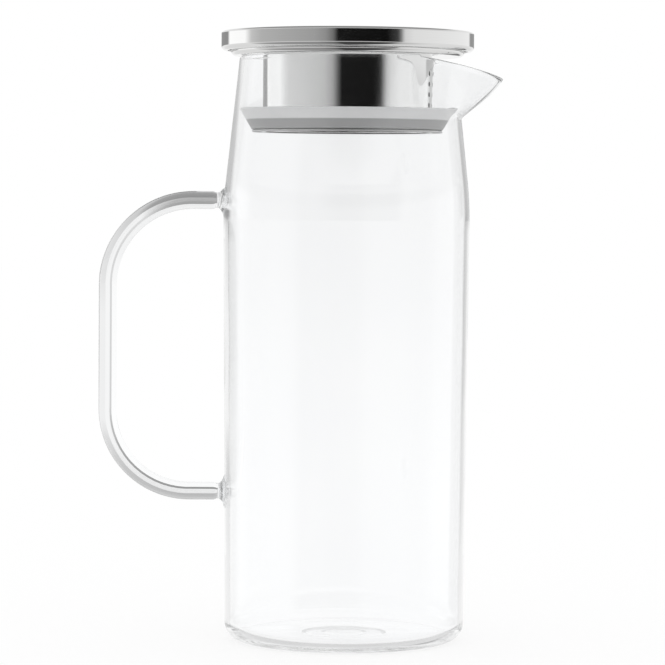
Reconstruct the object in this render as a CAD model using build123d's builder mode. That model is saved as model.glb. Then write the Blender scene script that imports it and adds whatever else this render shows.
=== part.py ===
from build123d import *

import math
import os

# Glass pitcher with a turning strainer lid. Millimetres, +Z up, the spout towards +X and the
# handle towards -X. The origin is on the upright axis, in the plane that the pitcher stands on.

# Sizes of the glass body
rim_height = 247.6  # rim above the standing plane
neck_length = 61.6  # from the rim down to where the neck begins to taper
shoulder_radius = 52.4  # widest part of the body
neck_narrowing = 6.7  # how much smaller the mouth's radius is than the shoulder's
shoulder_bend = 150.0  # soft bend between body and neck
base_narrowing = 1.5  # how much smaller the base's radius is than the shoulder's
base_corner = 7.0  # rounding of the base corner
wall = 2.1  # glass thickness
floor_thickness = 3.2  # glass thickness under the drink
rim_trim = 1.6  # glass drawn above the rim before the rim is cut level
punt_radius = 17.7  # round dimple under the base
punt_depth = 1.0
punt_slope = 1.5  # how far the dimple's side slopes inwards

# Sizes of the pouring spout
spout_depth = 26.5  # from the rim down to the foot of the spout
spout_reach = 20.6  # tip beyond the outside of the rim
spout_drop = 9.1  # tip below the rim
spout_bulge = 1.6  # how far the spout's underside bows out between foot and tip
spout_half_angle = 48.0  # half of the arc of rim that is drawn out
spout_sharpness = 5.0  # how narrow the drawn-out tip is
spout_foot_blend = 1.4  # softness of the bend at the foot
lip_fall_start = 5.7  # middle of the bend where the rim falls, inwards from its outside
lip_fall_bend = 155.0  # long bend of the rim as it falls to the tip

# Sizes of the glass handle
rod_diameter = 7.7
grip_distance = 101.3  # from the axis to the middle of the grip
upper_arm_drop = 61.0  # from the rim down to the middle of the upper arm
lower_arm_height = 62.8
upper_bend = 36.5  # bends of the rod, along its middle
lower_bend = 34.9
weld_radius = 7.0  # swelling where the rod is fused to the wall
weld_length = 3.0  # from the wall to the end of the rod
weld_root = 1.3  # how deep the swelling is rooted in the wall

# Sizes of the lid
lid_height = 10.4  # from the glass rim to the top of the lid
lid_overhang = 7.8  # cover beyond the outside of the glass rim
cover_height = 8.2  # rim of the cover
cover_bend = 0.2  # inside bend of the cover's top edge
hem_bend = 1.2  # inside bend of the hem, which is rolled in at the cover's lower edge
hem_flat = 0.7  # flat of the hem, inwards from its bend
sheet = 0.8  # steel of the cover and the base plate
pan_overhang = 3.6  # foot of the base plate beyond the outside of the glass rim
pan_bend = 1.0  # inside bend of the base plate's foot
sheet_fit = 0.1  # between the cover's hem and the base plate's flange
seat_gap = 0.1  # between the base plate and the glass rim

# Sizes of the strainer barrel
barrel_room = 7.8  # from the inside of the mouth to the outside of the barrel
barrel_wall = 0.8
barrel_depth = 32.2  # from the base plate to the barrel's lower end
weld_flange = 4.0  # width of the flange at the barrel's upper end
hole_diameter = 2.1
hole_rows = 4
hole_columns = 4
hole_row_pitch = 4.4
hole_column_angle = 12.0  # between two columns, in degrees
hole_top_offset = 7.4  # from the glass rim to the highest row

# Sizes of the seal ring
seal_height = 8.9
seal_band_height = 4.2  # thick lower band that grips the barrel
seal_band_width = 4.4  # from the bore to the outside of the band's foot
seal_lip = 1.3  # thickness of the flared lip
seal_lip_round = 0.4
seal_turn_gap = 0.2  # between the seal and the barrel that turns in it
seal_glass_gap = 0.3  # between the lip and the glass

# Values that follow from the sizes above
shoulder_height = rim_height - neck_length
rim_radius = shoulder_radius - neck_narrowing
base_radius = shoulder_radius - base_narrowing  # as if the base corner were sharp
upper_arm_height = rim_height - upper_arm_drop
neck_taper = neck_narrowing / neck_length
body_taper = base_narrowing / shoulder_height
rod_radius = rod_diameter / 2
spout_foot_height = rim_height - spout_depth
spout_tip_height = rim_height - spout_drop
spout_tip_radius = rim_radius + spout_reach
spout_tip_swell = spout_reach - neck_taper * spout_drop
spout_rise = spout_depth - spout_drop
spout_climb = spout_rise**2 / (spout_rise + spout_foot_blend)
pan_bottom = rim_height + seat_gap
pan_radius = rim_radius + pan_overhang
lid_top = rim_height + lid_height
cover_radius = rim_radius + lid_overhang
cover_bottom = lid_top - cover_height
hem_top = cover_bottom + sheet
hem_bend_radius = cover_radius - sheet - hem_bend
hem_edge_radius = hem_bend_radius - hem_flat
pan_flange = hem_top + sheet_fit
barrel_radius = rim_radius - wall - barrel_room
barrel_top = pan_bottom
barrel_bottom = barrel_top - barrel_depth
seal_bottom = barrel_bottom + barrel_wall + seal_turn_gap
seal_top = seal_bottom + seal_height
seal_bore = barrel_radius + seal_turn_gap
seal_foot_radius = seal_bore + seal_band_width
seal_band_top = seal_bottom + seal_band_height


def outside_radius(height):
    """Outside of the round glass wall at a height, leaving the spout out."""
    if height > shoulder_height:
        return rim_radius + neck_taper * (rim_height - height)
    return shoulder_radius - body_taper * (shoulder_height - height)


def spout_swell(height):
    """How far the middle of the spout stands out from the neck at a height."""
    above = max(height - spout_foot_height, 0)
    climb = above**2 / (above + spout_foot_blend) / spout_climb
    return spout_tip_swell * climb + 4 * spout_bulge * climb * (1 - climb)


def section_point(height, inset, angle):
    """Point of the neck's horizontal section, at an angle in degrees from the spout."""
    share = math.cos(math.radians(90 * angle / spout_half_angle)) ** spout_sharpness
    radius = outside_radius(height) - inset + spout_swell(height) * share
    return (radius * math.cos(math.radians(angle)), radius * math.sin(math.radians(angle)))


def neck_section(height, inset):
    """The neck's section: a round arc, closed by a curve that runs out to the spout."""
    steps = 6
    angles = [spout_half_angle * (step / steps - 1) for step in range(1, 2 * steps)]
    round_radius = outside_radius(height) - inset
    edge_x = round_radius * math.cos(math.radians(spout_half_angle))
    edge_y = round_radius * math.sin(math.radians(spout_half_angle))
    with BuildSketch(Plane.XY.offset(height)) as section:
        with BuildLine():
            ThreePointArc((edge_x, edge_y), (-round_radius, 0), (edge_x, -edge_y))
            if spout_swell(height) == 0:
                ThreePointArc((edge_x, -edge_y), (round_radius, 0), (edge_x, edge_y))
            else:
                Spline(
                    (edge_x, -edge_y),
                    *[section_point(height, inset, angle) for angle in angles],
                    (edge_x, edge_y),
                    tangents=[(edge_y, edge_x), (-edge_y, edge_x)],
                )
        make_face()
    return section.sketch


neck_foot_height = spout_foot_height - 4 * spout_foot_blend
neck_top_height = rim_height + rim_trim
neck_sections = 10
neck_step = (neck_top_height - neck_foot_height) / (neck_sections - 1)
neck_heights = [neck_foot_height + step * neck_step for step in range(neck_sections)]
upper_wall_radius = outside_radius(upper_arm_height)
lower_wall_radius = outside_radius(lower_arm_height)

# Glass body with its spout and the two swellings for the handle
with BuildPart() as glass_body:
    with BuildSketch(Plane.XZ) as outer_half:
        with BuildLine():
            Polyline(
                (0, punt_depth),
                (punt_radius - punt_slope, punt_depth),
                (punt_radius, 0),
                (base_radius, 0),
                (shoulder_radius, shoulder_height),
                (outside_radius(neck_foot_height), neck_foot_height),
                (0, neck_foot_height),
                close=True,
            )
        make_face()
        fillet(outer_half.vertices().sort_by_distance((base_radius, 0))[0], base_corner)
        bend_corner = (shoulder_radius, shoulder_height)
        fillet(outer_half.vertices().sort_by_distance(bend_corner)[0], shoulder_bend)
    revolve(axis=Axis.Z)
    loft([neck_section(height, 0) for height in neck_heights])
    for arm_height, wall_radius in (
        (upper_arm_height, upper_wall_radius),
        (lower_arm_height, lower_wall_radius),
    ):
        rod_end = -(wall_radius + weld_length)
        root = -(wall_radius - weld_root)
        with BuildSketch(Plane.XZ):
            with BuildLine():
                flare = TangentArc(
                    (rod_end, arm_height + rod_radius),
                    (-wall_radius, arm_height + weld_radius),
                    tangent=(1, 0),
                )
                Polyline(
                    flare @ 1,
                    (root, arm_height + weld_radius),
                    (root, arm_height),
                    (rod_end, arm_height),
                    flare @ 0,
                )
            make_face()
        revolve(axis=Axis((0, 0, arm_height), (1, 0, 0)))
    with BuildSketch(Plane.XZ) as inner_half:
        with BuildLine():
            Polyline(
                (0, floor_thickness),
                (outside_radius(floor_thickness) - wall, floor_thickness),
                (shoulder_radius - wall, shoulder_height),
                (outside_radius(neck_foot_height) - wall, neck_foot_height),
                (0, neck_foot_height),
                close=True,
            )
        make_face()
        floor_corner = (outside_radius(floor_thickness) - wall, floor_thickness)
        fillet(inner_half.vertices().sort_by_distance(floor_corner)[0], base_corner - wall)
        bend_corner = (shoulder_radius - wall, shoulder_height)
        fillet(inner_half.vertices().sort_by_distance(bend_corner)[0], shoulder_bend - wall)
    revolve(axis=Axis.Z, mode=Mode.SUBTRACT)
    loft([neck_section(height, wall) for height in neck_heights], mode=Mode.SUBTRACT)
    with BuildSketch(Plane.XZ) as lip_fall:
        fall_x = rim_radius - lip_fall_start
        far_x = spout_tip_radius + spout_reach
        far_z = rim_height - spout_drop * (far_x - fall_x) / (spout_tip_radius - fall_x)
        with BuildLine():
            Polyline(
                (-2 * rim_radius, rim_height),
                (fall_x, rim_height),
                (far_x, far_z),
                (far_x, neck_top_height + spout_reach),
                (-2 * rim_radius, neck_top_height + spout_reach),
                close=True,
            )
        make_face()
        fillet(lip_fall.vertices().sort_by_distance((fall_x, rim_height))[0], lip_fall_bend)
    extrude(amount=2 * rim_radius, both=True, mode=Mode.SUBTRACT)
glass_body.part.label = "glass_body"

# Glass handle: a solid rod bent into a D
with BuildPart() as glass_handle:
    upper_end = -(upper_wall_radius + weld_length)
    lower_end = -(lower_wall_radius + weld_length)
    with BuildLine(Plane.XZ) as rod_path:
        FilletPolyline(
            (upper_end, upper_arm_height),
            (-grip_distance, upper_arm_height),
            (-grip_distance, lower_arm_height),
            (lower_end, lower_arm_height),
            radius=[upper_bend, lower_bend],
        )
    with BuildSketch(Plane(origin=(upper_end, 0, upper_arm_height), z_dir=(-1, 0, 0))):
        Circle(rod_radius)
    sweep(path=rod_path.line)
glass_handle.part.label = "glass_handle"

# Lid cover: a pressed disc with a rim turned down and a hem rolled inwards
with BuildPart() as lid_cover:
    with BuildSketch(Plane.XZ) as cover_half:
        with BuildLine():
            Polyline(
                (0, lid_top - sheet),
                (cover_radius - sheet, lid_top - sheet),
                (cover_radius - sheet, hem_top),
                (hem_edge_radius, hem_top),
                (hem_edge_radius, cover_bottom),
                (cover_radius, cover_bottom),
                (cover_radius, lid_top),
                (0, lid_top),
                close=True,
            )
        make_face()
        fillet(cover_half.vertices().sort_by_distance((cover_radius, lid_top))[0], cover_bend + sheet)
        inner_corner = (cover_radius - sheet, lid_top - sheet)
        fillet(cover_half.vertices().sort_by_distance(inner_corner)[0], cover_bend)
        outer_corner = (cover_radius, cover_bottom)
        fillet(cover_half.vertices().sort_by_distance(outer_corner)[0], hem_bend + sheet)
        hem_corner = (cover_radius - sheet, hem_top)
        fillet(cover_half.vertices().sort_by_distance(hem_corner)[0], hem_bend)
    revolve(axis=Axis.Z)
lid_cover.part.label = "lid_cover"

# Lid base plate: a shallow pan that rests on the glass rim, its flange held by the cover's hem
with BuildPart() as lid_base_plate:
    with BuildSketch(Plane.XZ) as pan_half:
        with BuildLine():
            Polyline(
                (0, pan_bottom),
                (pan_radius, pan_bottom),
                (pan_radius, pan_flange),
                (hem_bend_radius, pan_flange),
                (hem_bend_radius, pan_flange + sheet),
                (pan_radius - sheet, pan_flange + sheet),
                (pan_radius - sheet, pan_bottom + sheet),
                (0, pan_bottom + sheet),
                close=True,
            )
        make_face()
        fillet(pan_half.vertices().sort_by_distance((pan_radius, pan_bottom))[0], pan_bend + sheet)
        inner_corner = (pan_radius - sheet, pan_bottom + sheet)
        fillet(pan_half.vertices().sort_by_distance(inner_corner)[0], pan_bend)
    revolve(axis=Axis.Z)
lid_base_plate.part.label = "lid_base_plate"

# Strainer barrel: a tube with a flange at each end and a block of holes towards the spout
with BuildPart() as strainer_barrel:
    with BuildSketch(Plane.XZ):
        with BuildLine():
            Polyline(
                (barrel_radius - weld_flange, barrel_top),
                (barrel_radius - weld_flange, barrel_top - barrel_wall),
                (barrel_radius - barrel_wall, barrel_top - barrel_wall),
                (barrel_radius - barrel_wall, barrel_bottom),
                (seal_foot_radius, barrel_bottom),
                (seal_foot_radius, barrel_bottom + barrel_wall),
                (barrel_radius, barrel_bottom + barrel_wall),
                (barrel_radius, barrel_top),
                close=True,
            )
        make_face()
    revolve(axis=Axis.Z)
    hole_places = []
    for column in range(hole_columns):
        turn = math.radians(hole_column_angle * (column - (hole_columns - 1) / 2))
        for row in range(hole_rows):
            hole_height = rim_height - hole_top_offset - row * hole_row_pitch
            hole_places.append(
                Plane(
                    origin=(barrel_radius * math.cos(turn), barrel_radius * math.sin(turn), hole_height),
                    z_dir=(math.cos(turn), math.sin(turn), 0),
                )
            )
    with Locations(*hole_places):
        Hole(hole_diameter / 2, depth=2 * barrel_wall)
strainer_barrel.part.label = "strainer_barrel"

# Seal ring: a band round the barrel's lower end with a lip that flares to the glass
with BuildPart() as seal_ring:
    lip_radius = outside_radius(seal_top) - wall - seal_glass_gap
    flare_slope = (lip_radius - seal_foot_radius) / seal_height
    groove_radius = seal_foot_radius + flare_slope * seal_band_height - seal_lip
    with BuildSketch(Plane.XZ) as seal_half:
        with BuildLine():
            Polyline(
                (seal_bore, seal_bottom),
                (seal_foot_radius, seal_bottom),
                (lip_radius, seal_top),
                (lip_radius - seal_lip, seal_top),
                (groove_radius, seal_band_top),
                (seal_bore, seal_band_top),
                close=True,
            )
        make_face()
        fillet(seal_half.vertices().group_by(Axis.Y)[-1], seal_lip_round)
    revolve(axis=Axis.Z)
seal_ring.part.label = "seal_ring"

os.makedirs("parts", exist_ok=True)
for piece in (glass_body, glass_handle, lid_cover, lid_base_plate, strainer_barrel, seal_ring):
    export_step(piece.part, f"parts/{piece.part.label}.step")
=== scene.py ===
import math

import bmesh
import bpy
from bpy.props import FloatProperty, FloatVectorProperty, IntProperty, PointerProperty
from mathutils import Matrix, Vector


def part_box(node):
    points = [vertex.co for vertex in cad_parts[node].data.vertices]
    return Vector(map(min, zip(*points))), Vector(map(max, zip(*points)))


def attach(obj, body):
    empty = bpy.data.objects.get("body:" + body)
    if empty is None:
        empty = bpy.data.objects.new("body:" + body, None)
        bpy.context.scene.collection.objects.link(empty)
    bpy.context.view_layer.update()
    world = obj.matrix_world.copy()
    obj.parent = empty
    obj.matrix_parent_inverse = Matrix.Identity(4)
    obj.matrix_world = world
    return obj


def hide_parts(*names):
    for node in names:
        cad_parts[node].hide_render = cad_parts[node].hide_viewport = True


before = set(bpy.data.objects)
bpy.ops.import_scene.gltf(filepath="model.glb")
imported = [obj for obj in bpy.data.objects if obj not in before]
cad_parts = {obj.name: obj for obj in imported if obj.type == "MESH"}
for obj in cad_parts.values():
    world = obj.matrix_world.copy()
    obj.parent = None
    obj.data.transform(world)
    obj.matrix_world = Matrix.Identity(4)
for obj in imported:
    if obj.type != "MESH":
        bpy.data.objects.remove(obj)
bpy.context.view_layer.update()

bl_info = {
    "name": "Glass pitcher with strainer lid",
    "version": (1, 0, 0),
    "blender": (4, 5, 0),
    "location": "3D View > Sidebar > Pitcher",
    "description": "Models a clear glass pitcher, its bent glass handle and its turning steel lid",
    "category": "Object",
}

# The solids give the main sizes, in metres. The spout points to +X and the handle to -X.
glass_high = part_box("glass_body")[1]
handle_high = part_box("glass_handle")[1]
cover_low, cover_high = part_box("lid_cover")
plate_low, plate_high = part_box("lid_base_plate")
barrel_low, barrel_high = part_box("strainer_barrel")
seal_low, seal_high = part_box("seal_ring")

# Steps round the axis, finer where the edge of the lid shows, and the rounding of small edges
TURN_STEPS = 192
LID_STEPS = 256
SMALL_ROUND = 0.0005


def length(name, description, default):
    return FloatProperty(
        name=name, description=description, default=default, unit="LENGTH", subtype="DISTANCE", precision=5
    )


def colour(name, description, default):
    return FloatVectorProperty(
        name=name, description=description, default=default, size=3, min=0, max=1, subtype="COLOR"
    )


class PitcherGlassSizes(bpy.types.PropertyGroup):
    rim_height: length("Rim height", "Rim above the standing plane", glass_high.z)
    shoulder_radius: length("Shoulder radius", "Widest part of the body", glass_high.y)
    neck_narrowing: length("Neck narrowing", "Mouth's radius below the shoulder's", 0.0067)
    neck_length: length("Neck length", "From the rim down to the shoulder", 0.0616)
    shoulder_round: length("Shoulder rounding", "Reach of the soft bend at the shoulder", 0.0079)
    base_narrowing: length("Base narrowing", "Base's radius below the shoulder's", 0.0015)
    base_round: length("Base rounding", "Rounding of the base corner", 0.007)
    wall: length("Wall", "Thickness of the glass", 0.0021)
    floor_thickness: length("Floor thickness", "Glass under the drink", 0.0032)
    dimple_radius: length("Dimple radius", "Round dimple under the base", 0.0177)
    dimple_depth: length("Dimple depth", "Depth of the round dimple", 0.001)
    spout_depth: length("Spout depth", "From the rim down to the foot of the spout", 0.0265)
    spout_reach: length("Spout reach", "Tip beyond the outside of the rim", 0.0206)
    spout_drop: length("Spout drop", "Tip below the rim", 0.0091)
    spout_bulge: length("Spout bulge", "How far the underside bows out", 0.0016)
    spout_foot_blend: length("Spout foot blend", "Softness of the bend at the foot", 0.0014)
    spout_half_angle: FloatProperty(
        name="Spout half angle",
        description="Half of the arc of rim that is drawn out",
        default=math.radians(48),
        subtype="ANGLE",
    )
    spout_sharpness: FloatProperty(
        name="Spout sharpness", description="How narrow the drawn-out tip is", default=5
    )
    lip_fall_start: length("Lip fall middle", "Middle of the rim's falling bend, in from its outside", 0.0057)
    lip_fall_bend: length("Lip fall bend", "Half of the run over which the rim bends", 0.0254)


class PitcherHandleSizes(bpy.types.PropertyGroup):
    rod_radius: length("Rod radius", "Half of the rod's thickness", handle_high.y)
    grip_distance: length("Grip distance", "From the axis to the middle of the grip", 0.1013)
    upper_arm_height: length("Upper arm height", "Middle of the upper arm", 0.1866)
    lower_arm_height: length("Lower arm height", "Middle of the lower arm", 0.0628)
    upper_bend: length("Upper bend", "Bend radius along the rod's middle", 0.0365)
    lower_bend: length("Lower bend", "Bend radius along the rod's middle", 0.0349)
    weld_radius: length("Weld radius", "Swelling where the rod is fused to the wall", 0.0072)
    weld_length: length("Weld length", "From the wall to the full rod", 0.0046)
    waist: FloatProperty(name="Waist", description="Rod's share of its radius beside the weld", default=0.86)


class PitcherLidSizes(bpy.types.PropertyGroup):
    cover_bend: length("Cover bend", "Inside bend of the cover's top edge", 0.0002)
    hem_bend: length("Hem bend", "Inside bend of the cover's rolled hem", 0.0012)
    hem_flat: length("Hem flat", "Flat of the hem, inwards from its bend", 0.0007)
    sheet: length("Sheet", "Steel of the cover and the base plate", 0.0008)
    pan_radius: length("Pan radius", "Foot of the base plate", 0.0493)
    pan_bend: length("Pan bend", "Inside bend of the base plate's foot", 0.001)
    barrel_radius: length("Barrel radius", "Outside of the strainer barrel", 0.0358)
    barrel_wall: length("Barrel wall", "Steel of the strainer barrel", 0.0008)
    weld_flange: length("Weld flange", "Width of the flange at the barrel's upper end", 0.004)
    hole_diameter: length("Hole diameter", "Strainer holes", 0.0021)
    hole_rows: IntProperty(name="Hole rows", description="Rows of strainer holes", default=4, min=1)
    hole_columns: IntProperty(name="Hole columns", description="Columns of strainer holes", default=4, min=1)
    hole_row_pitch: length("Hole row pitch", "Between two rows", 0.0044)
    hole_top: length("Top row", "Height of the highest row of holes", 0.2402)
    hole_column_angle: FloatProperty(
        name="Hole column angle",
        description="Between two columns",
        default=math.radians(12),
        subtype="ANGLE",
    )


class PitcherSealSizes(bpy.types.PropertyGroup):
    bore: length("Bore", "Inside radius of the ring", 0.036)
    foot_radius: length("Foot radius", "Outside of the thick band at its foot", 0.0404)
    band_height: length("Band height", "Thick lower band that grips the barrel", 0.0042)
    lip: length("Lip", "Thickness of the flared lip", 0.0013)
    lip_radius: length("Lip radius", "Outside of the lip", 0.04571)


class PitcherFinish(bpy.types.PropertyGroup):
    glass_clear: colour("Glass, clear", "Glass where it is purest", (0.995, 0.998, 1.0))
    glass_tint: colour("Glass, tinted", "Glass where it is faintly coloured", (0.985, 0.989, 0.993))
    steel_light: colour("Steel, light", "Polished steel along the bright turning lines", (0.76, 0.76, 0.755))
    steel_dark: colour("Steel, dark", "Polished steel along the dull turning lines", (0.70, 0.70, 0.695))
    # Painted shade: near-black steel on the walls of the strainer holes stands in for the shade inside them
    steel_hole_shade: colour("Steel, raw", "Darkened steel in the strainer holes", (0.08, 0.08, 0.08))
    # Painted shade: the thick band is darkened where the steel lies close behind it
    silicone_band_shade: colour("Silicone, band", "Silicone where steel lies close behind it", (0.56, 0.56, 0.56))
    silicone_light: colour("Silicone, light", "Milky silicone", (0.96, 0.96, 0.96))
    silicone_dark: colour("Silicone, dark", "Milky silicone in its denser patches", (0.92, 0.925, 0.925))


class PitcherStage(bpy.types.PropertyGroup):
    camera_distance: length("Camera distance", "From the pitcher's axis", 1.343)
    camera_height: length("Camera height", "Above the floor", 0.1914)
    camera_pitch: FloatProperty(
        name="Camera pitch", description="Downwards", default=math.radians(2.59), subtype="ANGLE"
    )
    camera_turn: FloatProperty(
        name="Camera turn", description="To the left", default=math.radians(0.24), subtype="ANGLE"
    )
    camera_roll: FloatProperty(
        name="Camera roll", description="About its line of sight", default=math.radians(0.4), subtype="ANGLE"
    )
    lens: FloatProperty(name="Lens", description="Focal length in millimetres", default=171.1)
    floor_radius: length("Floor radius", "Round pale floor", 6.0)


def linked(tree, kind, *inputs, **settings):
    """Adds a node, sets its settings, and fills its inputs in order with sockets or values."""
    node = tree.nodes.new(kind)
    for name, value in settings.items():
        setattr(node, name, value)
    for socket, value in zip(node.inputs, inputs):
        if isinstance(value, bpy.types.NodeSocket):
            tree.links.new(value, socket)
        elif value is not None:
            socket.default_value = value
    return node


def maths(tree, operation, *values):
    return linked(tree, "ShaderNodeMath", *values, operation=operation).outputs[0]


def both_true(tree, first, second):
    return maths(tree, "MULTIPLY", first, second)


def above(tree, value, limit):
    return maths(tree, "GREATER_THAN", value, limit)


def below(tree, value, limit):
    return maths(tree, "LESS_THAN", value, limit)


def steps_between(tree, value, low, high):
    """A value that rises smoothly from 0 at low to 1 at high."""
    return linked(
        tree, "ShaderNodeMapRange", value, low, high, 0, 1, interpolation_type="SMOOTHSTEP"
    ).outputs[0]


def mottle_group():
    """Soft, slow variation over a surface, shared by the glass, the steel and the silicone."""
    group = bpy.data.node_groups.get("Slow mottle")
    if group:
        return group
    group = bpy.data.node_groups.new("Slow mottle", "ShaderNodeTree")
    group.interface.new_socket("Vector", in_out="INPUT", socket_type="NodeSocketVector")
    group.interface.new_socket("Scale", in_out="INPUT", socket_type="NodeSocketFloat")
    group.interface.new_socket("Mottle", in_out="OUTPUT", socket_type="NodeSocketFloat")
    entry = group.nodes.new("NodeGroupInput")
    leave = group.nodes.new("NodeGroupOutput")
    noise = group.nodes.new("ShaderNodeTexNoise")
    noise.inputs["Detail"].default_value = 2
    group.links.new(entry.outputs["Vector"], noise.inputs["Vector"])
    group.links.new(entry.outputs["Scale"], noise.inputs["Scale"])
    even = linked(group, "ShaderNodeMapRange", noise.outputs[0], 0.3, 0.7, 0, 1)
    group.links.new(even.outputs[0], leave.inputs["Mottle"])
    return group


def new_material(name):
    """A material with a Principled shader, and the Object coordinates that its patterns read."""
    material = bpy.data.materials.new(name)
    material.use_nodes = True
    tree = material.node_tree
    shader = tree.nodes["Principled BSDF"]
    place = tree.nodes.new("ShaderNodeTexCoord").outputs["Object"]
    return material, tree, shader, place


def mottle(tree, place, scale):
    node = tree.nodes.new("ShaderNodeGroup")
    node.node_tree = mottle_group()
    tree.links.new(place, node.inputs["Vector"])
    node.inputs["Scale"].default_value = scale
    return node.outputs["Mottle"]


def mixed(tree, share, first, second):
    """Goes from the first colour to the second by a share. Each may be a value or a socket."""
    node = tree.nodes.new("ShaderNodeMix")
    node.data_type = "RGBA"
    for socket, value in ((node.inputs[0], share), (node.inputs[6], first), (node.inputs[7], second)):
        if isinstance(value, bpy.types.NodeSocket):
            tree.links.new(value, socket)
        else:
            socket.default_value = value
    return node.outputs[2]


def blend_colours(tree, share, first, second):
    return mixed(tree, share, (*first, 1), (*second, 1))


def glass_material():
    """Clear polished glass with the faint tint and waves of a blown wall."""
    made = bpy.data.materials.get("clear_blown_glass")
    if made:
        return made
    finish = bpy.context.scene.pitcher_finish
    material, tree, shader, place = new_material("clear_blown_glass")
    waves = mottle(tree, place, scale=22)
    tint = blend_colours(tree, waves, finish.glass_clear, finish.glass_tint)
    tree.links.new(tint, shader.inputs["Base Color"])
    bump = tree.nodes.new("ShaderNodeBump")
    bump.inputs["Strength"].default_value = 0.12
    bump.inputs["Distance"].default_value = 0.0004
    tree.links.new(waves, bump.inputs["Height"])
    tree.links.new(bump.outputs[0], shader.inputs["Normal"])
    shader.inputs["Roughness"].default_value = 0.0
    shader.inputs["IOR"].default_value = 1.47
    shader.inputs["Transmission Weight"].default_value = 1
    return material


def steel_material(name="polished_lid_steel", skin=None):
    """Polished stainless steel with fine turning lines, painted dark as shade in cuts through a skin, and
    dull outside it.
    """
    made = bpy.data.materials.get(name)
    if made:
        return made
    finish = bpy.context.scene.pitcher_finish
    material, tree, shader, place = new_material(name)
    parts = linked(tree, "ShaderNodeSeparateXYZ", place)
    x, y, z = parts.outputs
    squares = maths(tree, "ADD", maths(tree, "MULTIPLY", x, x), maths(tree, "MULTIPLY", y, y))
    radius = maths(tree, "SQRT", squares)
    across = maths(tree, "ADD", radius, z)
    lines = tree.nodes.new("ShaderNodeTexNoise")
    lines.noise_dimensions = "1D"
    lines.inputs["Scale"].default_value = 5200
    lines.inputs["Detail"].default_value = 3
    tree.links.new(across, lines.inputs["W"])
    grain = linked(tree, "ShaderNodeMapRange", lines.outputs[0], 0.25, 0.75, 0, 1).outputs[0]
    tone = blend_colours(tree, grain, finish.steel_dark, finish.steel_light)
    if skin:
        # The walls of the holes lie between the outer and the inner skin of the tube, and there the steel is
        # painted dark as shade in the holes
        outer = steps_between(tree, radius, skin - 0.00012, skin - 0.00004)
        inner = steps_between(tree, radius, skin - 0.0007, skin - 0.00078)
        outside_hole_shade = maths(tree, "MAXIMUM", outer, inner)
        tone = mixed(tree, outside_hole_shade, (*finish.steel_hole_shade, 1), tone)
    tree.links.new(tone, shader.inputs["Base Color"])
    smears = mottle(tree, place, scale=70)
    dull = linked(tree, "ShaderNodeMapRange", smears, 0, 1, 0.035, 0.065).outputs[0]
    if skin:
        flange = steps_between(tree, radius, skin + 0.0002, skin + 0.0006)
        dull = mixed(tree, flange, dull, (0.55, 0.55, 0.55, 1))
    tree.links.new(dull, shader.inputs["Roughness"])
    bump = tree.nodes.new("ShaderNodeBump")
    bump.inputs["Strength"].default_value = 0.012
    bump.inputs["Distance"].default_value = 0.00005
    tree.links.new(grain, bump.inputs["Height"])
    tree.links.new(bump.outputs[0], shader.inputs["Normal"])
    shader.inputs["Metallic"].default_value = 1
    return material


def silicone_material():
    """Milky silicone, with a painted glow at its thin lip and painted shade on its thick band, where the
    steel lies behind it.
    """
    made = bpy.data.materials.get("milky_silicone")
    if made:
        return made
    finish = bpy.context.scene.pitcher_finish
    material, tree, shader, place = new_material("milky_silicone")
    clouds = mottle(tree, place, scale=160)
    tone = blend_colours(tree, clouds, finish.silicone_light, finish.silicone_dark)
    height = linked(tree, "ShaderNodeSeparateXYZ", place).outputs[2]
    edge = seal_low.z + bpy.context.scene.pitcher_seal.band_height
    # Painted shade: below this edge the thick band takes a darker grey, standing in for the steel close
    # behind it
    lip_glow_and_band_shade_mask = steps_between(tree, height, edge - 0.0004, edge + 0.0004)
    tone = mixed(tree, lip_glow_and_band_shade_mask, (*finish.silicone_band_shade, 1), tone)
    tree.links.new(tone, shader.inputs["Base Color"])
    # Painted glow: the thin lip gives off a faint light, standing in for light passing through the milky
    # silicone from behind
    tree.links.new(mixed(tree, lip_glow_and_band_shade_mask, (0, 0, 0, 1), (1, 1, 1, 1)), shader.inputs["Emission Color"])
    shader.inputs["Emission Strength"].default_value = 0.1
    dull = linked(tree, "ShaderNodeMapRange", clouds, 0, 1, 0.42, 0.5).outputs[0]
    tree.links.new(dull, shader.inputs["Roughness"])
    shader.inputs["IOR"].default_value = 1.41
    return material


def outline(bm, points):
    """Joins points, as radius and height, into one line in the XZ plane."""
    corners = [bm.verts.new((radius, 0, height)) for radius, height in points]
    for first, second in zip(corners, corners[1:]):
        bm.edges.new((first, second))
    return corners


def round_corner(bm, corner, reach, segments):
    bmesh.ops.bevel(
        bm,
        geom=[corner],
        offset=reach,
        offset_type="OFFSET",
        segments=segments,
        profile=0.5,
        affect="VERTICES",
        material=-1,
    )


def turn_round(bm, steps):
    """Spins everything drawn so far once round the pitcher's axis."""
    bmesh.ops.spin(
        bm,
        geom=bm.verts[:] + bm.edges[:],
        cent=(0, 0, 0),
        axis=(0, 0, 1),
        angle=math.tau,
        steps=steps,
        use_merge=True,
    )
    bmesh.ops.remove_doubles(bm, verts=bm.verts, dist=1e-6)
    bmesh.ops.recalc_face_normals(bm, faces=bm.faces)


def make_piece(bm, name, material, body, node, sharp=35):
    """Turns a bmesh into a piece that stands for a node and rides on a body."""
    mesh = bpy.data.meshes.new(name)
    bm.to_mesh(mesh)
    bm.free()
    piece = bpy.data.objects.new(name, mesh)
    bpy.context.scene.collection.objects.link(piece)
    mesh.materials.append(material)
    smooth(mesh, sharp)
    even = piece.modifiers.new("Even normals", "WEIGHTED_NORMAL")
    even.keep_sharp = True
    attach(piece, body)
    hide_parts(node)
    return piece


def smooth(mesh, sharp):
    mesh.shade_smooth()
    mesh.set_sharp_from_angle(angle=math.radians(sharp))


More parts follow.
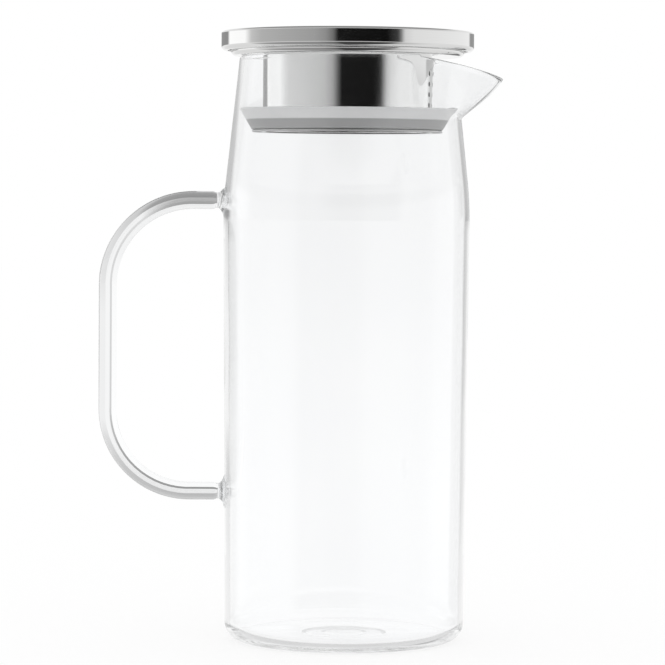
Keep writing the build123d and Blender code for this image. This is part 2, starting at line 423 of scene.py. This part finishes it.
def outside_radius(height):
    """Outside of the round glass wall at a height, leaving the spout out."""
    sizes = bpy.context.scene.pitcher_glass
    below_rim = sizes.rim_height - height
    if below_rim < sizes.neck_length:
        rim_radius = sizes.shoulder_radius - sizes.neck_narrowing
        return rim_radius + sizes.neck_narrowing * below_rim / sizes.neck_length
    below_shoulder = below_rim - sizes.neck_length
    shoulder_height = sizes.rim_height - sizes.neck_length
    return sizes.shoulder_radius - sizes.base_narrowing * below_shoulder / shoulder_height


def spout_foot():
    """Height up to which the neck stays round."""
    sizes = bpy.context.scene.pitcher_glass
    return sizes.rim_height - sizes.spout_depth - 4 * sizes.spout_foot_blend


def spout_swell(height):
    """How far the middle of the spout stands out from the neck at a height."""
    sizes = bpy.context.scene.pitcher_glass
    taper = sizes.neck_narrowing / sizes.neck_length
    tip_swell = sizes.spout_reach - taper * sizes.spout_drop
    rise = sizes.spout_depth - sizes.spout_drop
    full = rise**2 / (rise + sizes.spout_foot_blend)
    risen = max(height - sizes.rim_height + sizes.spout_depth, 0)
    climb = risen**2 / (risen + sizes.spout_foot_blend) / full
    return tip_swell * climb + 4 * sizes.spout_bulge * climb * (1 - climb)


def lip_height(x):
    """Height of the rim's falling line above a distance from the axis towards the spout."""
    sizes = bpy.context.scene.pitcher_glass
    start = sizes.shoulder_radius - sizes.neck_narrowing - sizes.lip_fall_start
    slope = sizes.spout_drop / (sizes.lip_fall_start + sizes.spout_reach)
    past = x - start
    if past <= -sizes.lip_fall_bend:
        return sizes.rim_height
    if past < sizes.lip_fall_bend:
        return sizes.rim_height - slope * (past + sizes.lip_fall_bend) ** 2 / (4 * sizes.lip_fall_bend)
    return sizes.rim_height - slope * past


def rim_height_at(angle, share):
    """Height of the rim at an angle from the spout, where the drawn-out wall meets the falling line."""
    sizes = bpy.context.scene.pitcher_glass
    low, high = sizes.rim_height - sizes.spout_depth, sizes.rim_height
    for _ in range(24):
        middle = (low + high) / 2
        radius = outside_radius(middle) - sizes.wall / 2 + spout_swell(middle) * share
        if lip_height(radius * math.cos(angle)) > middle:
            low = middle
        else:
            high = middle
    return high


def draw_out_spout(bm):
    """Pulls the round neck out to the spout and lets its rim fall to the tip."""
    sizes = bpy.context.scene.pitcher_glass
    foot = spout_foot()
    rolled = sizes.rim_height - 2 * sizes.wall
    rims = {}
    for vert in bm.verts:
        angle = math.atan2(vert.co.y, vert.co.x)
        if vert.co.z <= foot or abs(angle) >= sizes.spout_half_angle:
            continue
        share = math.cos(math.pi / 2 * angle / sizes.spout_half_angle) ** sizes.spout_sharpness
        key = round(angle, 4)
        if key not in rims:
            rims[key] = rim_height_at(angle, share)
        inset = outside_radius(vert.co.z) - math.hypot(vert.co.x, vert.co.y)
        drop = sizes.rim_height - rims[key]
        squeeze = min((vert.co.z - foot) / (rolled - foot), 1)
        height = vert.co.z - drop * squeeze
        radius = outside_radius(height) - inset + spout_swell(height) * share
        vert.co = (radius * math.cos(angle), radius * math.sin(angle), height)


class PITCHER_OT_glass_body(bpy.types.Operator):
    """Turn the glass wall, floor and dimple, and draw the spout out of the neck"""

    bl_idname = "pitcher.glass_body"
    bl_label = "Glass body"

    def execute(self, context):
        sizes = context.scene.pitcher_glass
        wall = sizes.wall
        shoulder = sizes.rim_height - sizes.neck_length
        foot = spout_foot()
        rim_radius = sizes.shoulder_radius - sizes.neck_narrowing
        base_radius = sizes.shoulder_radius - sizes.base_narrowing
        floor_radius = outside_radius(sizes.floor_thickness) - wall
        bm = bmesh.new()
        corners = outline(
            bm,
            (
                (0, sizes.dimple_depth * 1.5),
                (sizes.dimple_radius * 0.46, sizes.dimple_depth * 1.5),
                (sizes.dimple_radius * 0.53, sizes.dimple_depth),
                (sizes.dimple_radius * 0.92, sizes.dimple_depth),
                (sizes.dimple_radius, 0),
                (base_radius, 0),
                (sizes.shoulder_radius, shoulder),
                (outside_radius(foot), foot),
                (rim_radius, sizes.rim_height),
                (rim_radius - wall, sizes.rim_height),
                (outside_radius(foot) - wall, foot),
                (sizes.shoulder_radius - wall, shoulder),
                (floor_radius, sizes.floor_thickness),
                (0, sizes.floor_thickness),
            ),
        )
        base, bend, neck, lip, lip_in, neck_in, bend_in, floor = corners[5:13]
        for corner in corners[1:5]:
            round_corner(bm, corner, SMALL_ROUND, 3)
        round_corner(bm, base, sizes.base_round, 12)
        round_corner(bm, floor, sizes.base_round - wall, 10)
        round_corner(bm, bend, sizes.shoulder_round, 10)
        round_corner(bm, bend_in, sizes.shoulder_round, 10)
        round_corner(bm, lip, wall * 0.49, 5)
        round_corner(bm, lip_in, wall * 0.49, 5)
        neck_lines = [
            max(corner.link_edges, key=lambda line: line.other_vert(corner).co.z)
            for corner in (neck, neck_in)
        ]
        bmesh.ops.subdivide_edges(bm, edges=neck_lines, cuts=30)
        turn_round(bm, TURN_STEPS)
        draw_out_spout(bm)
        make_piece(bm, "glass_body_wall", glass_material(), "pitcher", "glass_body", 60)
        return {"FINISHED"}


def pull_ring(bm, ring, move=None, matrix=None):
    """Extrudes a ring of edges, moves the new ring, and returns it."""
    drawn = bmesh.ops.extrude_edge_only(bm, edges=ring)["geom"]
    verts = [part for part in drawn if isinstance(part, bmesh.types.BMVert)]
    edges = [
        part
        for part in drawn
        if isinstance(part, bmesh.types.BMEdge) and all(vert in verts for vert in part.verts)
    ]
    if move is not None:
        bmesh.ops.translate(bm, verts=verts, vec=move)
    if matrix is not None:
        bmesh.ops.transform(bm, matrix=matrix, verts=verts)
    return edges


def bend_ring(bm, ring, centre, angle, steps):
    """Spins a ring of edges round a bend of the rod, and returns the last ring."""
    drawn = bmesh.ops.spin(
        bm, geom=ring, cent=centre, axis=(0, 1, 0), angle=angle, steps=steps
    )["geom_last"]
    return [part for part in drawn if isinstance(part, bmesh.types.BMEdge)]


def wall_behind(vert):
    """How far out the round wall lies, towards the handle, level with a point of the rod."""
    return math.sqrt(outside_radius(vert.co.z) ** 2 - vert.co.y**2)


def flare_to_wall(bm, ring, height):
    """Swells the end of the rod to the glass wall and closes it along the wall."""
    sizes = bpy.context.scene.pitcher_handle
    wall_radius = outside_radius(height)
    rest = Matrix.Translation((0, 0, -height))
    swell = sizes.weld_radius / sizes.rod_radius
    sunk = -0.03
    # Distances from the wall as shares of the weld's length, each with the rod's share of its radius there
    shares = ((1.0, 1.0), (0.86, 0.95), (0.7, sizes.waist), (0.52, sizes.waist), (0.38, 0.95))
    shares += ((0.27, 1.08), (0.18, 1.25), (0.1, 1.45), (0.04, 1.68), (0.0, swell), (sunk, swell * 1.02))
    done = 1.0
    for away, share in shares:
        grow = share / done
        ring = pull_ring(bm, ring, matrix=rest.inverted() @ Matrix.Diagonal((1, grow, grow, 1)) @ rest)
        done = share
        for vert in {vert for edge in ring for vert in edge.verts}:
            planar = wall_radius + away * sizes.weld_length
            round_wall = wall_behind(vert) + away * sizes.weld_length
            mix = min(max(away, 0), 1)
            vert.co.x = -(planar * mix + round_wall * (1 - mix))
    end = bmesh.ops.contextual_create(bm, geom=ring)["faces"]
    for _ in range(3):
        bmesh.ops.inset_region(bm, faces=end, thickness=sizes.weld_radius * 0.22)
    bmesh.ops.poke(bm, faces=end)
    for vert in bm.verts:
        near = abs(vert.co.z - height) < sizes.weld_radius * 0.95 and vert.co.x > -wall_radius - 0.0001
        if near:
            vert.co.x = -(wall_behind(vert) + sunk * sizes.weld_length)


class PITCHER_OT_glass_handle(bpy.types.Operator):
    """Bend the glass rod into its D and flare both ends to the wall"""

    bl_idname = "pitcher.glass_handle"
    bl_label = "Glass handle"

    def execute(self, context):
        sizes = context.scene.pitcher_handle
        upper_x = -(outside_radius(sizes.upper_arm_height) + sizes.weld_length)
        lower_x = -(outside_radius(sizes.lower_arm_height) + sizes.weld_length)
        bend_x = -sizes.grip_distance + sizes.upper_bend
        lower_bend_x = -sizes.grip_distance + sizes.lower_bend
        bm = bmesh.new()
        place = Matrix.Translation((upper_x, 0, sizes.upper_arm_height))
        facing = place @ Matrix.Rotation(math.pi / 2, 4, "Y")
        bmesh.ops.create_circle(bm, segments=48, radius=sizes.rod_radius, matrix=facing)
        start = bm.edges[:]
        ring = pull_ring(bm, start, move=(bend_x - upper_x, 0, 0))
        centre = (bend_x, 0, sizes.upper_arm_height - sizes.upper_bend)
        ring = bend_ring(bm, ring, centre, -math.pi / 2, 36)
        straight = sizes.upper_arm_height - sizes.upper_bend - sizes.lower_arm_height - sizes.lower_bend
        ring = pull_ring(bm, ring, move=(0, 0, -straight))
        centre = (lower_bend_x, 0, sizes.lower_arm_height + sizes.lower_bend)
        ring = bend_ring(bm, ring, centre, -math.pi / 2, 36)
        ring = pull_ring(bm, ring, move=(lower_x - lower_bend_x, 0, 0))
        flare_to_wall(bm, ring, sizes.lower_arm_height)
        flare_to_wall(bm, start, sizes.upper_arm_height)
        bmesh.ops.remove_doubles(bm, verts=bm.verts, dist=1e-6)
        bmesh.ops.recalc_face_normals(bm, faces=bm.faces)
        make_piece(bm, "glass_handle_rod", glass_material(), "pitcher", "glass_handle", 60)
        return {"FINISHED"}


class PITCHER_OT_lid_cover(bpy.types.Operator):
    """Turn the pressed steel cover with its rolled hem"""

    bl_idname = "pitcher.lid_cover"
    bl_label = "Lid cover"

    def execute(self, context):
        sizes = context.scene.pitcher_lid
        radius, top, bottom, sheet = cover_high.x, cover_high.z, cover_low.z, sizes.sheet
        hem_edge = radius - sheet - sizes.hem_bend - sizes.hem_flat
        bm = bmesh.new()
        corners = outline(
            bm,
            (
                (0, top - sheet),
                (radius - sheet, top - sheet),
                (radius - sheet, bottom + sheet),
                (hem_edge, bottom + sheet),
                (hem_edge, bottom),
                (radius, bottom),
                (radius, top),
                (0, top),
            ),
        )
        round_corner(bm, corners[1], sizes.cover_bend, 4)
        round_corner(bm, corners[6], sizes.cover_bend + sheet, 8)
        round_corner(bm, corners[2], sizes.hem_bend, 8)
        round_corner(bm, corners[5], sizes.hem_bend + sheet, 12)
        for corner in corners[3:5]:
            round_corner(bm, corner, sheet * 0.3, 3)
        turn_round(bm, LID_STEPS)
        make_piece(bm, "lid_cover_disc", steel_material(), "lid", "lid_cover")
        return {"FINISHED"}


class PITCHER_OT_lid_plate(bpy.types.Operator):
    """Turn the shallow pan that closes the cover from below"""

    bl_idname = "pitcher.lid_plate"
    bl_label = "Lid base plate"

    def execute(self, context):
        sizes = context.scene.pitcher_lid
        radius, edge, sheet = sizes.pan_radius, plate_high.x, sizes.sheet
        bottom, top = plate_low.z, plate_high.z
        bm = bmesh.new()
        corners = outline(
            bm,
            (
                (0, bottom),
                (radius, bottom),
                (radius, top - sheet),
                (edge, top - sheet),
                (edge, top),
                (radius - sheet, top),
                (radius - sheet, bottom + sheet),
                (0, bottom + sheet),
            ),
        )
        round_corner(bm, corners[1], sizes.pan_bend + sheet, 12)
        round_corner(bm, corners[6], sizes.pan_bend, 8)
        round_corner(bm, corners[2], sheet * 0.5, 4)
        for corner in corners[3:5]:
            round_corner(bm, corner, sheet * 0.3, 3)
        turn_round(bm, LID_STEPS)
        make_piece(bm, "lid_base_pan", steel_material(), "lid", "lid_base_plate")
        return {"FINISHED"}


class PITCHER_OT_strainer_barrel(bpy.types.Operator):
    """Turn the strainer barrel and drill its block of holes"""

    bl_idname = "pitcher.strainer_barrel"
    bl_label = "Strainer barrel"

    def execute(self, context):
        sizes = context.scene.pitcher_lid
        radius, wall = sizes.barrel_radius, sizes.barrel_wall
        top, bottom, foot = barrel_high.z, barrel_low.z, barrel_high.x
        bm = bmesh.new()
        corners = outline(
            bm,
            (
                (radius - sizes.weld_flange, top),
                (radius - sizes.weld_flange, top - wall),
                (radius - wall, top - wall),
                (radius - wall, bottom),
                (foot, bottom),
                (foot, bottom + wall),
                (radius, bottom + wall),
                (radius, top),
            ),
        )
        bm.edges.new((corners[-1], corners[0]))
        for corner in corners[4:6]:
            round_corner(bm, corner, wall * 0.45, 4)
        round_corner(bm, corners[3], wall, 5)
        turn_round(bm, TURN_STEPS)
        drills = bmesh.new()
        for column in range(sizes.hole_columns):
            turn = sizes.hole_column_angle * (column - (sizes.hole_columns - 1) / 2)
            for row in range(sizes.hole_rows):
                height = sizes.hole_top - row * sizes.hole_row_pitch
                place = Matrix.Rotation(turn, 4, "Z") @ Matrix.Translation((radius, 0, height))
                bmesh.ops.create_cone(
                    drills,
                    cap_ends=True,
                    segments=28,
                    radius1=sizes.hole_diameter / 2,
                    radius2=sizes.hole_diameter / 2,
                    depth=wall * 6,
                    matrix=place @ Matrix.Rotation(math.pi / 2, 4, "Y"),
                )
        steel = steel_material("strainer_barrel_steel", radius)
        piece = make_piece(bm, "strainer_barrel_tube", steel, "lid", "strainer_barrel")
        drill_mesh = bpy.data.meshes.new("strainer_drills")
        drills.to_mesh(drill_mesh)
        drills.free()
        drill = bpy.data.objects.new("strainer_drills", drill_mesh)
        context.scene.collection.objects.link(drill)
        cut = piece.modifiers.new("Holes", "BOOLEAN")
        cut.operation = "DIFFERENCE"
        cut.solver = "EXACT"
        cut.object = drill
        piece.modifiers.move(1, 0)
        solid = piece.evaluated_get(context.evaluated_depsgraph_get())
        drilled = bpy.data.meshes.new_from_object(solid)
        piece.modifiers.remove(cut)
        piece.data = drilled
        smooth(drilled, 35)
        bpy.data.objects.remove(drill)
        return {"FINISHED"}


class PITCHER_OT_seal_ring(bpy.types.Operator):
    """Turn the milky seal ring with its flared lip"""

    bl_idname = "pitcher.seal_ring"
    bl_label = "Seal ring"

    def execute(self, context):
        sizes = context.scene.pitcher_seal
        bottom, top = seal_low.z, seal_high.z
        band_top = bottom + sizes.band_height
        slope = (sizes.lip_radius - sizes.foot_radius) / (top - bottom)
        bm = bmesh.new()
        corners = outline(
            bm,
            (
                (sizes.bore, bottom),
                (sizes.foot_radius, bottom),
                (sizes.lip_radius, top),
                (sizes.lip_radius - sizes.lip, top),
                (sizes.foot_radius + slope * sizes.band_height - sizes.lip, band_top),
                (sizes.bore, band_top),
            ),
        )
        bm.edges.new((corners[-1], corners[0]))
        for corner in corners[2:4]:
            round_corner(bm, corner, sizes.lip * 0.36, 4)
        for corner in (corners[0], corners[1], corners[4], corners[5]):
            round_corner(bm, corner, SMALL_ROUND, 4)
        turn_round(bm, TURN_STEPS)
        make_piece(bm, "seal_ring_lip", silicone_material(), "seal", "seal_ring")
        return {"FINISHED"}


# Brightness of the studio round the pitcher, in stops of an angle and a level. The angle starts at the camera
# and is positive to its right. The tables run upwards from the floor, and the two heights of each are those
# of the looks between which it fades into the next. The lid and the outside of glass show the first set of
# tables and the inside of glass the second, while the barrel, behind the glass, shows cards of its own.
STEEL_DARK_FRONT = (
    (-180, 1.0), (-120, 1.0), (-95, 0.5), (-30, 0.38), (-10, 0.15), (-6, 0.02), (44, 0.02), (54, 0.45),
    (95, 0.55), (120, 1.0), (180, 1.0),
)
STEEL_STUDIO = (
    (((-180, 0.86), (-104, 0.95), (-95, 0.6), (-85, 0.4), (-30, 0.34), (-12, 0.18), (-6, 0.07), (44, 0.07),
      (54, 0.6), (70, 0.8), (90, 0.95), (180, 0.86)), -0.2, -0.16),
    (((-180, 0.97), (180, 0.97)), -0.018, -0.006),
    (((-180, 1.0), (-174, 1.0), (-170, 0.34), (-141, 0.34), (-136, 1.3), (-107, 1.3), (-98, 0.72),
      (-85, 0.58), (-30, 0.44), (-20, 0.36), (-13, 0.2), (-9, 0.01), (36, 0.006), (46, 0.06), (49, 0.25),
      (53, 0.85), (62, 0.97), (110, 1.05), (144, 1.08), (149, 0.36), (170, 0.36), (174, 1.0), (180, 1.0)),
     0.07, 0.1),
    (STEEL_DARK_FRONT, 0.12, 0.15),
    (((-180, 1.0), (-90, 0.9), (0, 0.9), (90, 0.9), (180, 1.0)), 0.214, 0.238),
    (STEEL_DARK_FRONT, 0.29, 0.34),
    (((-180, 1.0), (-90, 0.9), (0, 0.75), (90, 0.9), (180, 1.0)), 0.45, 0.65),
    (((-180, 0.35), (180, 0.35)), None, None),
)
GLASS_DARK_FRONT = (
    (-180, 0.82), (-100, 0.85), (-30, 0.95), (-12, 0.1), (50, 0.1), (60, 0.95), (100, 0.85), (180, 0.82),
)
GLASS_STUDIO = (
    (((-180, 0.7), (180, 0.7)), -0.5, -0.4),
    (((-180, 0.82), (-150, 0.9), (148, 0.9), (153, 0.2), (172, 0.2), (178, 0.82), (180, 0.82)), -0.24, -0.18),
    (((-180, 0.97), (-172, 0.86), (-148, 0.84), (-143, 1.0), (143, 1.0), (148, 0.84), (172, 0.86),
      (180, 0.97)), -0.15, -0.03),
    (((-180, 1.0), (-175, 1.0), (-166, 0.6), (-148, 0.5), (-143, 1.0), (143, 1.0), (148, 0.5), (157, 0.5),
      (173, 1.0), (180, 1.0)), -0.006, 0.008),
    (((-180, 1.0), (-175, 1.0), (-166, 0.68), (-136, 0.58), (-131, 1.0), (0, 0.95), (131, 1.0), (136, 0.55),
      (158, 0.58), (174, 1.0), (180, 1.0)), 0.05, 0.1),
    (GLASS_DARK_FRONT, 0.198, 0.206),
    (((-180, 0.82), (-100, 0.85), (0, 0.95), (100, 0.85), (180, 0.82)), 0.214, 0.238),
    (GLASS_DARK_FRONT, 0.42, 0.52),
    (((-180, 0.97), (180, 0.97)), None, None),
)
BARREL_CARDS = (
    (-180, 1.0), (-174, 1.0), (-168, 0.38), (-142, 0.38), (-136, 1.3), (-104, 1.3), (-98, 1.12), (-92, 0.95),
    (-86, 0.84), (-60, 0.8), (-30, 0.68), (-20, 0.5), (-13, 0.15), (-8, 0.008), (42, 0.006), (46, 0.06),
    (50, 0.35), (55, 0.78), (61, 0.98), (76, 1.12), (125, 1.15), (135, 1.25), (145, 0.9), (152, 0.65),
    (165, 0.65), (175, 1.0), (180, 1.0),
)

# Rings of the card behind the handle, from its border inwards, each with its width and its brightness from
# the card's foot to its top. The last fills the middle.
CARD_RINGS = (
    (0.0011, ((0, 0.28), (0.12, 0.35), (0.3, 0.62), (0.7, 0.66), (0.94, 0.74), (0.985, 0.4), (1, 0.36))),
    (0.002, ((0, 0.85), (0.2, 0.92), (0.6, 0.92), (0.925, 0.9), (0.975, 0.45), (1, 0.38))),
    (0.008, ((0, 0.5), (0.12, 0.6), (0.25, 0.86), (0.6, 0.86), (0.84, 0.7), (0.905, 0.6), (0.935, 0.34),
             (1, 0.22))),
    (0, ((0, 0.5), (0.12, 0.55), (0.2, 0.68), (0.3, 0.6), (0.45, 0.42), (0.6, 0.42), (0.835, 0.42),
         (0.862, 0.12), (1, 0.1))),
)


def ramp_between(tree, share, stops):
    """Greys that follow a share from 0 to 1, with one stop for each edge of a card."""
    ramp = tree.nodes.new("ShaderNodeValToRGB")
    tree.links.new(share, ramp.inputs[0])
    points = ramp.color_ramp.elements
    while len(points) < len(stops):
        points.new(1)
    for point, (position, level) in zip(points, stops):
        point.position = position
        point.color = (level, level, level, 1)
    return ramp.outputs[0]


def cards(tree, around, stops):
    """A ramp of greys round the horizon."""
    return ramp_between(tree, around, [(degrees / 360 + 0.5, level) for degrees, level in stops])


def studio_walls(tree, around, z, tables):
    """Stacks a set of tables by height."""
    wall = None
    rising = None
    for stops, fade_from, fade_to in tables:
        level = cards(tree, around, stops)
        wall = mixed(tree, rising, wall, level) if wall else level
        if fade_to:
            rising = steps_between(tree, z, fade_from, fade_to)
    return wall


def studio_world():
    """White studio with cards that polished steel and the edges of glass show."""
    world = bpy.data.worlds.new("white_studio")
    bpy.context.scene.world = world
    world.use_nodes = True
    world.cycles.sampling_method = "NONE"
    tree = world.node_tree
    ray = tree.nodes.new("ShaderNodeLightPath")
    way = linked(tree, "ShaderNodeSeparateXYZ", tree.nodes.new("ShaderNodeTexCoord").outputs["Generated"])
    x, y, z = way.outputs
    angle = maths(tree, "ARCTAN2", x, maths(tree, "MULTIPLY", y, -1))
    around = linked(tree, "ShaderNodeMapRange", angle, -math.pi, math.pi, 0, 1).outputs[0]
    surfaces = ray.outputs["Transmission Depth"]
    mirrors = ray.outputs["Glossy Depth"]
    # What the barrel mirrors crosses four surfaces of glass on its way, and may be thrown back by the wall a
    # few times. With one mirror and six surfaces or more, it counts as mirrored by the glass.
    none, one_mirror, six_mirrors = 0.5, 1.5, 6.5
    three_surfaces, five_surfaces = 3.5, 5.5
    crossed = both_true(tree, above(tree, surfaces, three_surfaces), below(tree, mirrors, six_mirrors))
    thrown_back = above(tree, mirrors, one_mirror)
    direct = below(tree, surfaces, five_surfaces)
    met = maths(tree, "MAXIMUM", thrown_back, direct)
    level = both_true(tree, steps_between(tree, z, -0.3, -0.2), steps_between(tree, z, 0.4, 0.3))
    barrel = both_true(tree, crossed, both_true(tree, level, met))
    steel_walls = studio_walls(tree, around, z, STEEL_STUDIO)
    glass_walls = studio_walls(tree, around, z, GLASS_STUDIO)
    mirrored = mixed(tree, above(tree, surfaces, none), steel_walls, glass_walls)
    mirrored = mixed(tree, barrel, mirrored, cards(tree, around, BARREL_CARDS))
    # Looks through glass that go level or upwards are a little darker
    dim = both_true(tree, steps_between(tree, z, -0.1, 0.03), ray.outputs["Is Transmission Ray"])
    behind = mixed(tree, dim, (1, 1, 1, 1), (0.93, 0.93, 0.93, 1))
    shown = mixed(tree, above(tree, mirrors, none), behind, mirrored)
    shown = mixed(tree, ray.outputs["Is Camera Ray"], shown, (1, 1, 1, 1))
    tree.links.new(shown, tree.nodes["Background"].inputs["Color"])
    tree.nodes["Background"].inputs["Strength"].default_value = 1


def pale_floor(radius):
    """Pale round floor that keeps the pitcher's soft shadow."""
    under_base = Matrix.Translation((0, 0, -0.0002))
    bm = bmesh.new()
    bmesh.ops.create_circle(bm, cap_ends=True, segments=96, radius=radius, matrix=under_base)
    mesh = bpy.data.meshes.new("pale_floor")
    bm.to_mesh(mesh)
    bm.free()
    floor = bpy.data.objects.new("pale_floor", mesh)
    bpy.context.scene.collection.objects.link(floor)
    material = bpy.data.materials.new("pale_floor_paper")
    material.use_nodes = True
    tree = material.node_tree
    shader = tree.nodes["Principled BSDF"]
    shader.inputs["Base Color"].default_value = (1, 1, 1, 1)
    shader.inputs["Roughness"].default_value = 1
    shader.inputs["Specular IOR Level"].default_value = 0
    glow = linked(tree, "ShaderNodeEmission", (1, 1, 1, 1), 1)
    ray = tree.nodes.new("ShaderNodeLightPath")
    # To the camera the paper is mostly glow, and the rest of it keeps the shadow
    glow_share = 0.87
    share = maths(tree, "MULTIPLY", ray.outputs["Is Camera Ray"], glow_share)
    both = linked(tree, "ShaderNodeMixShader", share, shader.outputs[0], glow.outputs[0])
    tree.links.new(both.outputs[0], tree.nodes["Material Output"].inputs["Surface"])
    mesh.materials.append(material)
    floor.visible_glossy = False
    floor.visible_transmission = False


def grey_card_material(name, low, high, stops):
    """Glowing grey paper whose brightness follows the height, clear to light from behind more than a rod."""
    material = bpy.data.materials.new(name)
    material.use_nodes = True
    tree = material.node_tree
    place = linked(tree, "ShaderNodeSeparateXYZ", tree.nodes.new("ShaderNodeTexCoord").outputs["Object"])
    level = linked(tree, "ShaderNodeMapRange", place.outputs[2], low, high, 0, 1).outputs[0]
    glow = linked(tree, "ShaderNodeEmission", ramp_between(tree, level, stops), 1)
    clear = tree.nodes.new("ShaderNodeBsdfTransparent")
    ray = tree.nodes.new("ShaderNodeLightPath")
    rod_surfaces = 2.5
    through = above(tree, ray.outputs["Transmission Depth"], rod_surfaces)
    shown = linked(tree, "ShaderNodeMixShader", through, glow.outputs[0], clear.outputs[0])
    tree.links.new(shown.outputs[0], tree.nodes["Material Output"].inputs["Surface"])
    return material


def inset_ring(bm, faces, width):
    made = bmesh.ops.inset_region(bm, faces=faces, thickness=width, use_boundary=True, use_even_offset=True)
    return made["faces"]


def shade_card():
    """Grey card behind the handle's opening, which shows only where the glass rod bends light on to it."""
    sizes = bpy.context.scene.pitcher_handle
    margin, top_margin, behind_rod = 0.003, 0.002, 0.012
    beside_body = -0.0535
    left, right = -sizes.grip_distance - margin, beside_body
    low, high = sizes.lower_arm_height - margin, sizes.upper_arm_height + top_margin
    bm = bmesh.new()
    places = ((left, low), (right, low), (right, high), (left, high))
    corners = [bm.verts.new((x, behind_rod, z)) for x, z in places]
    bm.faces.new(corners)
    round_corner(bm, corners[0], sizes.lower_bend + margin, 16)
    round_corner(bm, corners[3], sizes.upper_bend + margin, 16)
    mesh = bpy.data.meshes.new("shade_card")
    middle = bm.faces[:]
    for number, (width, stops) in enumerate(CARD_RINGS):
        mesh.materials.append(grey_card_material(f"shade_card_ring_{number}", low, high, stops))
        ring = inset_ring(bm, middle, width) if width else middle
        for face in ring:
            face.material_index = number
    bm.to_mesh(mesh)
    bm.free()
    card = bpy.data.objects.new("shade_card", mesh)
    bpy.context.scene.collection.objects.link(card)
    card.visible_camera = False
    card.visible_diffuse = False
    card.visible_glossy = False
    card.visible_shadow = False


class PITCHER_OT_stage(bpy.types.Operator):
    """Set up the camera, the white studio and the pale floor"""

    bl_idname = "pitcher.stage"
    bl_label = "Stage"

    def execute(self, context):
        stage = context.scene.pitcher_stage
        data = bpy.data.cameras.new("photo_camera")
        data.lens = stage.lens
        data.sensor_width = 36
        data.clip_start = 0.01
        camera = bpy.data.objects.new("photo_camera", data)
        context.scene.collection.objects.link(camera)
        camera.matrix_world = (
            Matrix.Translation((0, -stage.camera_distance, stage.camera_height))
            @ Matrix.Rotation(stage.camera_turn, 4, "Z")
            @ Matrix.Rotation(math.pi / 2 - stage.camera_pitch, 4, "X")
            @ Matrix.Rotation(stage.camera_roll, 4, "Z")
        )
        context.scene.camera = camera
        context.scene.view_settings.view_transform = "Standard"
        context.scene.cycles.max_bounces = 512
        context.scene.cycles.transmission_bounces = 128
        context.scene.cycles.glossy_bounces = 512
        studio_world()
        pale_floor(stage.floor_radius)
        shade_card()
        return {"FINISHED"}


class VIEW3D_PT_pitcher(bpy.types.Panel):
    bl_label = "Pitcher"
    bl_idname = "VIEW3D_PT_pitcher"
    bl_space_type = "VIEW_3D"
    bl_region_type = "UI"
    bl_category = "Pitcher"

    def draw(self, context):
        for operator in operators:
            self.layout.operator(operator.bl_idname)
        for name in settings:
            box = self.layout.box()
            group = getattr(context.scene, name)
            for prop in group.bl_rna.properties:
                if prop.identifier not in {"rna_type", "name"}:
                    box.prop(group, prop.identifier)


settings = {
    "pitcher_glass": PitcherGlassSizes,
    "pitcher_handle": PitcherHandleSizes,
    "pitcher_lid": PitcherLidSizes,
    "pitcher_seal": PitcherSealSizes,
    "pitcher_finish": PitcherFinish,
    "pitcher_stage": PitcherStage,
}
operators = (
    PITCHER_OT_stage,
    PITCHER_OT_glass_body,
    PITCHER_OT_glass_handle,
    PITCHER_OT_lid_cover,
    PITCHER_OT_lid_plate,
    PITCHER_OT_strainer_barrel,
    PITCHER_OT_seal_ring,
)


def register():
    for name, group in settings.items():
        bpy.utils.register_class(group)
        setattr(bpy.types.Scene, name, PointerProperty(type=group))
    for operator in operators:
        bpy.utils.register_class(operator)
    bpy.utils.register_class(VIEW3D_PT_pitcher)


def unregister():
    bpy.utils.unregister_class(VIEW3D_PT_pitcher)
    for operator in reversed(operators):
        bpy.utils.unregister_class(operator)
    for name, group in reversed(settings.items()):
        delattr(bpy.types.Scene, name)
        bpy.utils.unregister_class(group)


def main():
    register()
    bpy.ops.pitcher.stage()
    bpy.ops.pitcher.glass_body()
    bpy.ops.pitcher.glass_handle()
    bpy.ops.pitcher.lid_cover()
    bpy.ops.pitcher.lid_plate()
    bpy.ops.pitcher.strainer_barrel()
    bpy.ops.pitcher.seal_ring()


if __name__ == "__main__":
    main()
